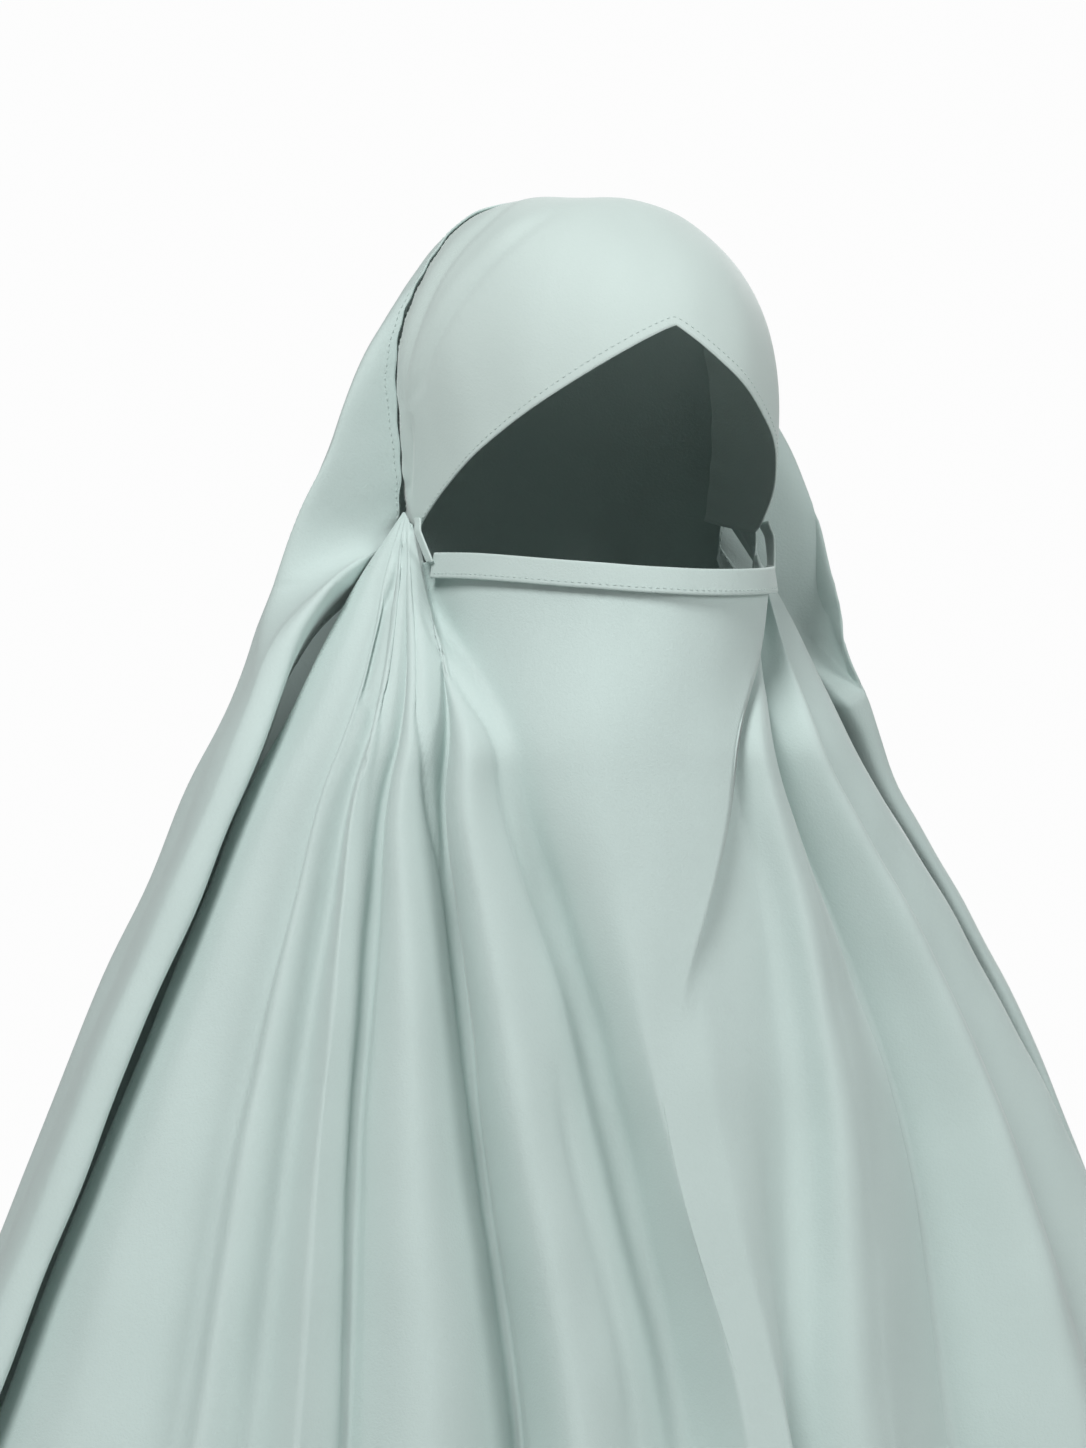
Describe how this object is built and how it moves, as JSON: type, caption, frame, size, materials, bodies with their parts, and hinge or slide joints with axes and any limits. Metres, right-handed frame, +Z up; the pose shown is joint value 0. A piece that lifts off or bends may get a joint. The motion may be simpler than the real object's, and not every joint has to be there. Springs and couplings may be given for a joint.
{
  "type": "khimar veil",
  "caption": "Long face-framing khimar: smooth hood with a pointed brow edge, nose band, gathered front panel and a pleated outer veil, all hollow, held in its worn form.",
  "frame": {"origin": "inside of the hood at the crown, where it sits on the head", "axes": "+Z up along the hanging cloth, -Y the way the face looks, +X the veil's own left"},
  "size_m": [0.8605, 0.4466, 1.0019],
  "materials": {
    "crepe_hood": "matt",
    "crepe_trim": "matt",
    "crepe_panel": "matt",
    "crepe_veil": "matt"
  },
  "bodies": {
    "root": {"hood_panel": "crepe_hood", "nose_band": "crepe_trim", "side_tab_right": "crepe_trim", "side_tab_left": "crepe_trim", "front_panel": "crepe_panel", "side_hem_right": "crepe_trim", "side_hem_left": "crepe_trim", "outer_veil": "crepe_veil"}
  },
  "joints": []
}
